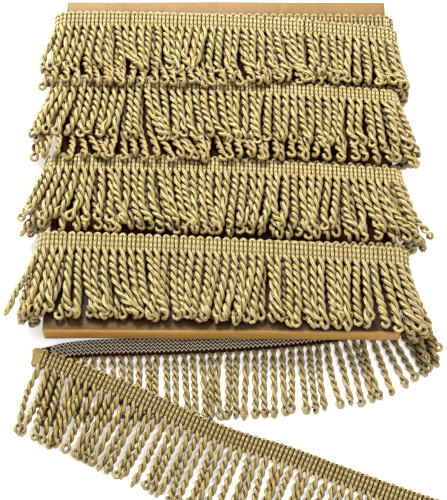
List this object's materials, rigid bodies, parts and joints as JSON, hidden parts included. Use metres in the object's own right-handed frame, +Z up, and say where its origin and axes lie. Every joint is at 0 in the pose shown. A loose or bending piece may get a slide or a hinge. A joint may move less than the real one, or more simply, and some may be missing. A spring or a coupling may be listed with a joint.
{
  "type": "cord fringe trim",
  "caption": "Twisted bullion cord fringe wound in rows round a flat kraft card, its loose tail folded back on itself and lying on the surface in front",
  "frame": {"origin": "middle of the underside of the whole, on the surface it rests on", "axes": "X runs to the right along the wound rows, Y to the back of the card and away from the strand ends, Z up out of the card's face"},
  "size_m": [0.3066, 0.4474, 0.0321],
  "materials": {
    "gold_cord": "satin",
    "kraft_card": "matte"
  },
  "bodies": {
    "root": {"card": "kraft_card", "winding": "gold_cord", "fringe_1": "gold_cord", "fringe_2": "gold_cord", "fringe_3": "gold_cord", "fringe_4": "gold_cord", "tail_heading": "gold_cord", "tail_fringe_side": "gold_cord", "tail_fringe_back": "gold_cord", "tail_fringe_front": "gold_cord"}
  },
  "joints": []
}
